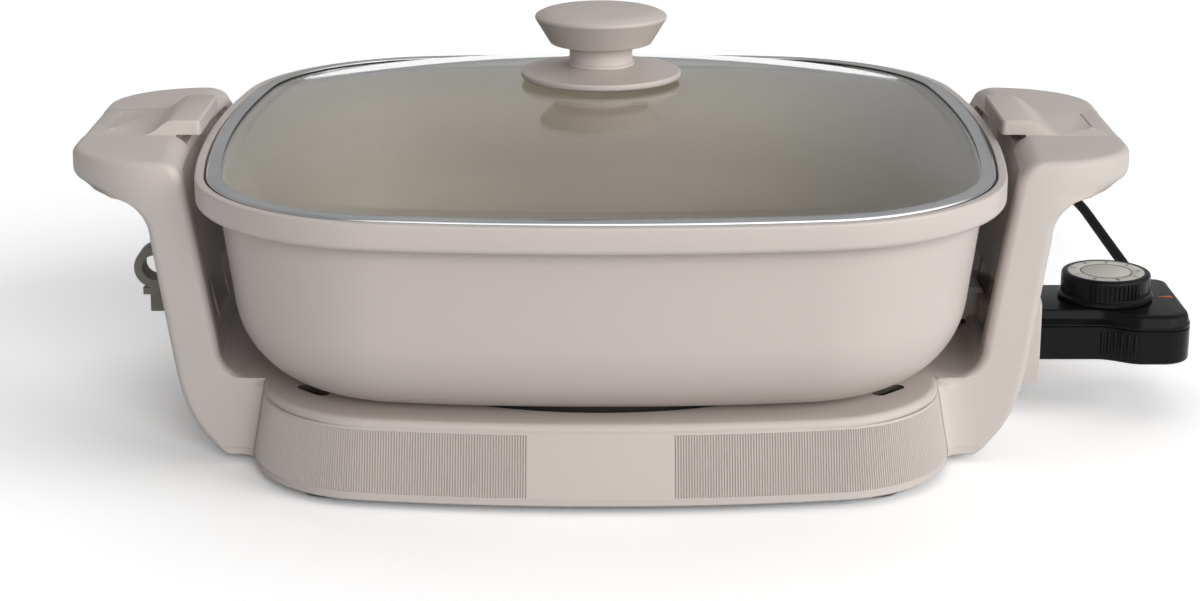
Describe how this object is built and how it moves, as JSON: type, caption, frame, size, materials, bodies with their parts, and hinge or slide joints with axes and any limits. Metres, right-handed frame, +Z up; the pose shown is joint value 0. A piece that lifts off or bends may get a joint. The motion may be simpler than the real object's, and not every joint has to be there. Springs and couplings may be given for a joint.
{
  "type": "electric skillet",
  "caption": "Square electric skillet with a domed glass lid, flared base with tall side handles, sliding pan locks and a plug-in heat control.",
  "frame": {"origin": "on the worktop, under the middle of the pan", "axes": "+Z up, +X towards the handle that holds the heat control, -Y is the front, which carries the plain badge panel"},
  "size_m": [0.4688, 0.5481, 0.1721],
  "materials": {
    "pan_coat": "satin greige non-stick coating on cast aluminium",
    "greige_shell": "fine satin greige plastic",
    "greige_dark": "satin darker greige plastic",
    "guard": "satin pale greige plastic",
    "glass": "clear tempered glass",
    "steel_trim": "bright rolled steel edge band",
    "hardware": "plain steel hardware",
    "heater_cast": "as-cast aluminium with a machined face",
    "element": "heat-darkened steel tube",
    "ceramic": "glazed white ceramic",
    "contact": "plain brass",
    "black_plastic": "satin black heat-resistant plastic",
    "thermostat": "moulded switch block",
    "dial_face": "satin silver disc",
    "inlay": "orange-red moulded marker",
    "rubber": "black rubber",
    "cord_jacket": "black flexible cord jacket"
  },
  "bodies": {
    "base": {"base_shell": "greige_shell", "bottom_cover": "greige_dark", "rubber_feet": "rubber", "cover_screws": "hardware", "reflector_dish": "hardware", "plate_bracket": "hardware", "bracket_screws": "hardware", "heater_plate": "heater_cast", "heating_element": "element", "terminal_pins": "hardware", "pin_bushings": "ceramic", "probe_socket": "black_plastic", "probe_guard": "guard", "arm_left": "greige_shell", "arm_right": "greige_shell", "liner_left": "greige_dark", "liner_right": "greige_dark", "arm_screws": "hardware", "storage_clip": "greige_dark", "clip_screws": "hardware"},
    "pan": {"pan": "pan_coat"},
    "lid": {"lid_glass": "glass", "lid_band": "steel_trim", "knob_gasket": "rubber", "knob_shield": "greige_shell", "knob_grip": "greige_shell", "knob_washer": "hardware", "knob_screw": "hardware"},
    "lock_left": {"lock_left": "greige_shell", "lock_keeper_left": "hardware"},
    "lock_right": {"lock_right": "greige_shell", "lock_keeper_right": "hardware"},
    "control": {"control_lower": "black_plastic", "control_upper": "black_plastic", "control_screws": "hardware", "thermostat": "thermostat", "sensor_rod": "hardware", "contact_tubes": "contact", "pointer_inlay": "inlay", "strain_relief": "black_plastic", "cord": "cord_jacket", "cord_coil": "cord_jacket", "plug_body": "black_plastic", "plug_blades": "hardware"},
    "dial": {"dial_knob": "black_plastic", "dial_plate": "dial_face", "dial_shaft": "hardware"}
  },
  "joints": [
    {"name": "pan_lift", "type": "slide", "parent": "base", "child": "pan", "axis": [0, 0, 1], "range_m": [0, 0.15]},
    {"name": "lid_lift", "type": "slide", "parent": "pan", "child": "lid", "axis": [0, 0, 1], "range_m": [0, 0.15]},
    {"name": "lock_left_slide", "type": "slide", "parent": "base", "child": "lock_left", "axis": [1, 0, 0], "range_m": [0, 0.006]},
    {"name": "lock_right_slide", "type": "slide", "parent": "base", "child": "lock_right", "axis": [-1, 0, 0], "range_m": [0, 0.006]},
    {"name": "control_pull", "type": "slide", "parent": "base", "child": "control", "axis": [1, 0, 0], "range_m": [0, 0.11]},
    {"name": "dial_turn", "type": "hinge", "parent": "control", "child": "dial", "pos_m": [0.2189, 0, 0.05], "axis": [0, 0, 1], "range_deg": [0, 300]}
  ]
}
